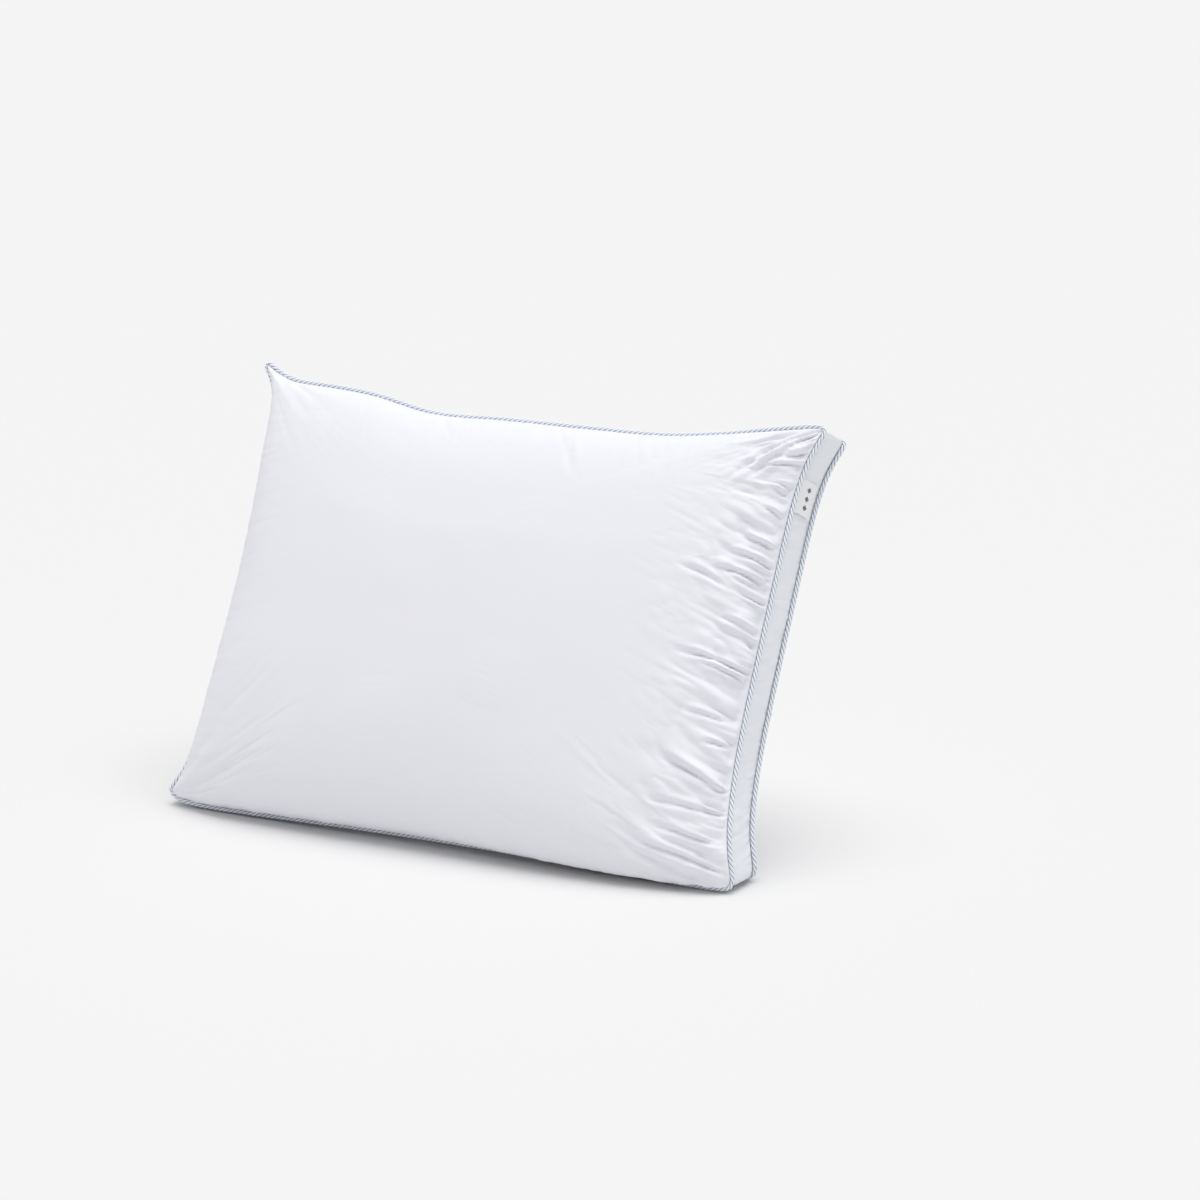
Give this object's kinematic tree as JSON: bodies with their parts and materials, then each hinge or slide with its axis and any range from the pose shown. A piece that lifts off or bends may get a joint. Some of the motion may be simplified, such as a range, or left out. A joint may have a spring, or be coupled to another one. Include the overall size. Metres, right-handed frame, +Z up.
{
  "type": "bed pillow",
  "caption": "Gusseted bed pillow with twisted piping on both seams, standing on a long edge and leaning back; its side label lifts like a flap.",
  "frame": {"origin": "middle of the flat strip of the bottom gusset that rests on the floor", "axes": "+X along the pillow's width, the front panel faces -Y, +Z up; the pillow leans back towards +Y"},
  "size_m": [0.6956, 0.3089, 0.4564],
  "materials": {
    "panel_cotton": "matte",
    "gusset_cotton": "matte",
    "piping_yarn": "matte",
    "piping_tape": "matte",
    "sewing_thread": "matte",
    "polyester_fibre": "matte",
    "label_weave": "satin"
  },
  "bodies": {
    "pillow": {"front_panel": "panel_cotton", "back_panel": "panel_cotton", "gusset_top": "gusset_cotton", "gusset_bottom": "gusset_cotton", "gusset_left": "gusset_cotton", "gusset_right": "gusset_cotton", "front_piping": "piping_yarn", "back_piping": "piping_yarn", "front_piping_tape": "piping_tape", "back_piping_tape": "piping_tape", "front_seam_thread": "sewing_thread", "back_seam_thread": "sewing_thread", "fibre_fill": "polyester_fibre", "label_stitch": "sewing_thread"},
    "label": {"side_label": "label_weave"}
  },
  "joints": [
    {"name": "label_flap", "type": "hinge", "parent": "pillow", "child": "label", "pos_m": [0.32865, 0.1501, 0.38642], "axis": [-0.0832, -0.4446, -0.8918], "range_deg": [0, 75]}
  ]
}
